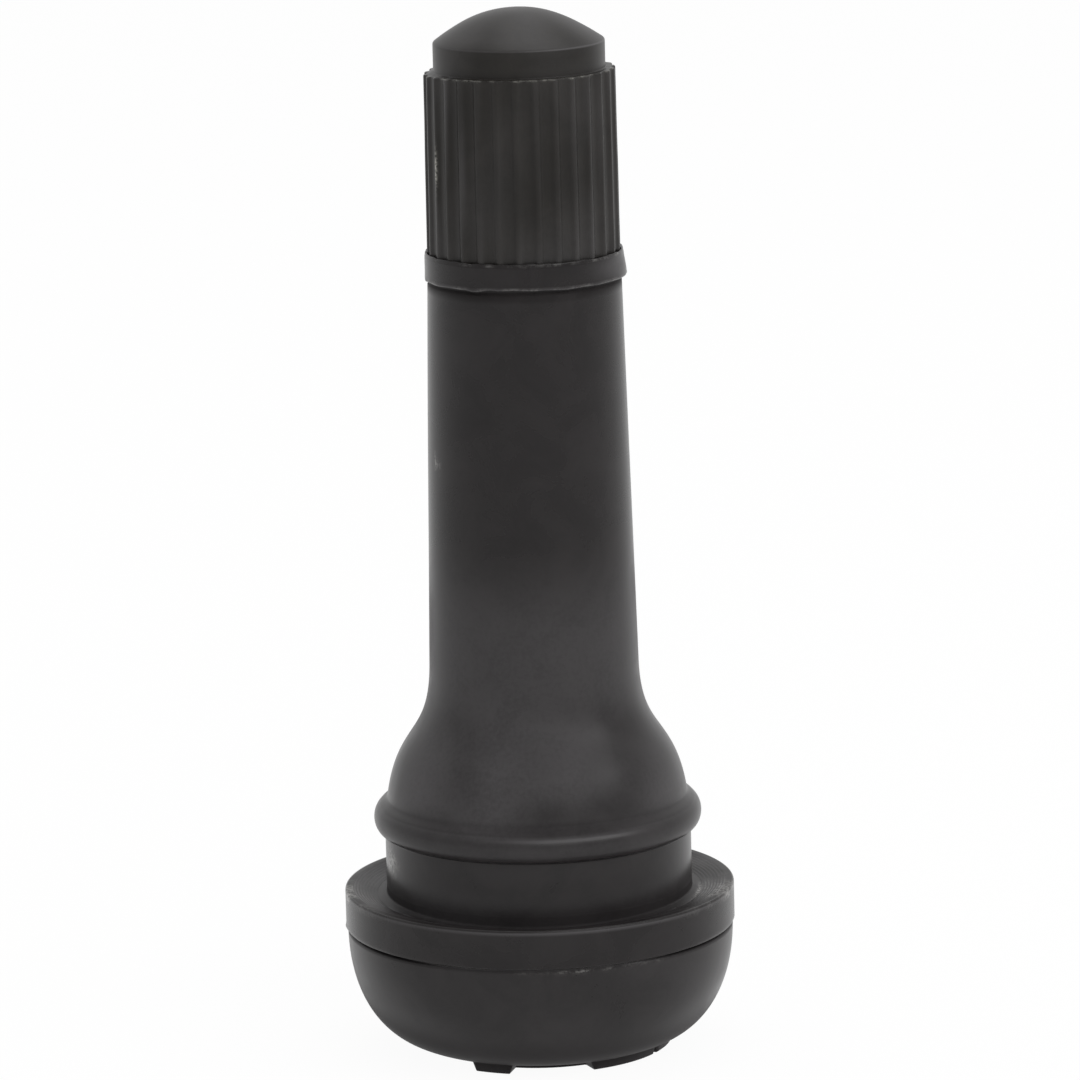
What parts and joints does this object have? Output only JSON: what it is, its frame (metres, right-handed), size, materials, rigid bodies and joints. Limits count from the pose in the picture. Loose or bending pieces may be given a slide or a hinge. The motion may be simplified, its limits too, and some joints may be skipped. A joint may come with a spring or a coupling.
{
  "type": "snap-in tyre valve",
  "caption": "Snap-in rubber tyre valve: brass stem in a moulded body with rim groove and sealing base, spring-loaded screw-in core and ribbed dust cap.",
  "frame": {"origin": "centre of the plane that the base's moulded feet stand on", "axes": "+Z along the stem, from the base to the cap; -Y towards the viewer of the picture"},
  "size_m": [0.0195, 0.0194, 0.0523],
  "materials": {
    "rubber": "matte moulded black",
    "brass": "turned",
    "cap_plastic": "matte moulded black",
    "soft_seal": "soft dark rubber",
    "hard_seal": "waxy pale plastic",
    "spring_steel": "drawn wire"
  },
  "bodies": {
    "stem": {"rubber_body": "rubber", "brass_stem": "brass"},
    "cap_washer": {"cap_seal": "soft_seal"},
    "cap": {"dust_cap": "cap_plastic"},
    "core": {"core_barrel": "brass", "barrel_gasket": "hard_seal", "core_spring": "spring_steel"},
    "plug": {"core_plug": "brass"},
    "plunger": {"core_pin": "brass", "plunger_cup": "brass", "plunger_seal": "soft_seal"}
  },
  "joints": [
    {"name": "cap_lift", "type": "slide", "parent": "stem", "child": "cap_washer", "axis": [0, 0, 1], "range_m": [0, 0.00556]},
    {"name": "cap_turn", "type": "hinge", "parent": "cap_washer", "child": "cap", "pos_m": [0, 0, 0.0445], "axis": [0, 0, 1], "range_deg": [0, 2520]},
    {"name": "core_lift", "type": "slide", "parent": "stem", "child": "core", "axis": [0, 0, 1], "range_m": [0, 0.00212]},
    {"name": "core_turn", "type": "hinge", "parent": "core", "child": "plug", "pos_m": [0, 0, 0.0445], "axis": [0, 0, 1], "range_deg": [0, 1080]},
    {"name": "pin_press", "type": "slide", "parent": "core", "child": "plunger", "axis": [0, 0, -1], "range_m": [0, 0.0014], "stiffness_N_per_m": 1000, "springref_m": -0.002, "deforming": ["core_spring"]}
  ],
  "couplings": [
    {"joint": "cap_turn", "follows": "cap_lift", "rad_per_m": 7915.8},
    {"joint": "core_turn", "follows": "core_lift", "rad_per_m": 8905.2}
  ]
}
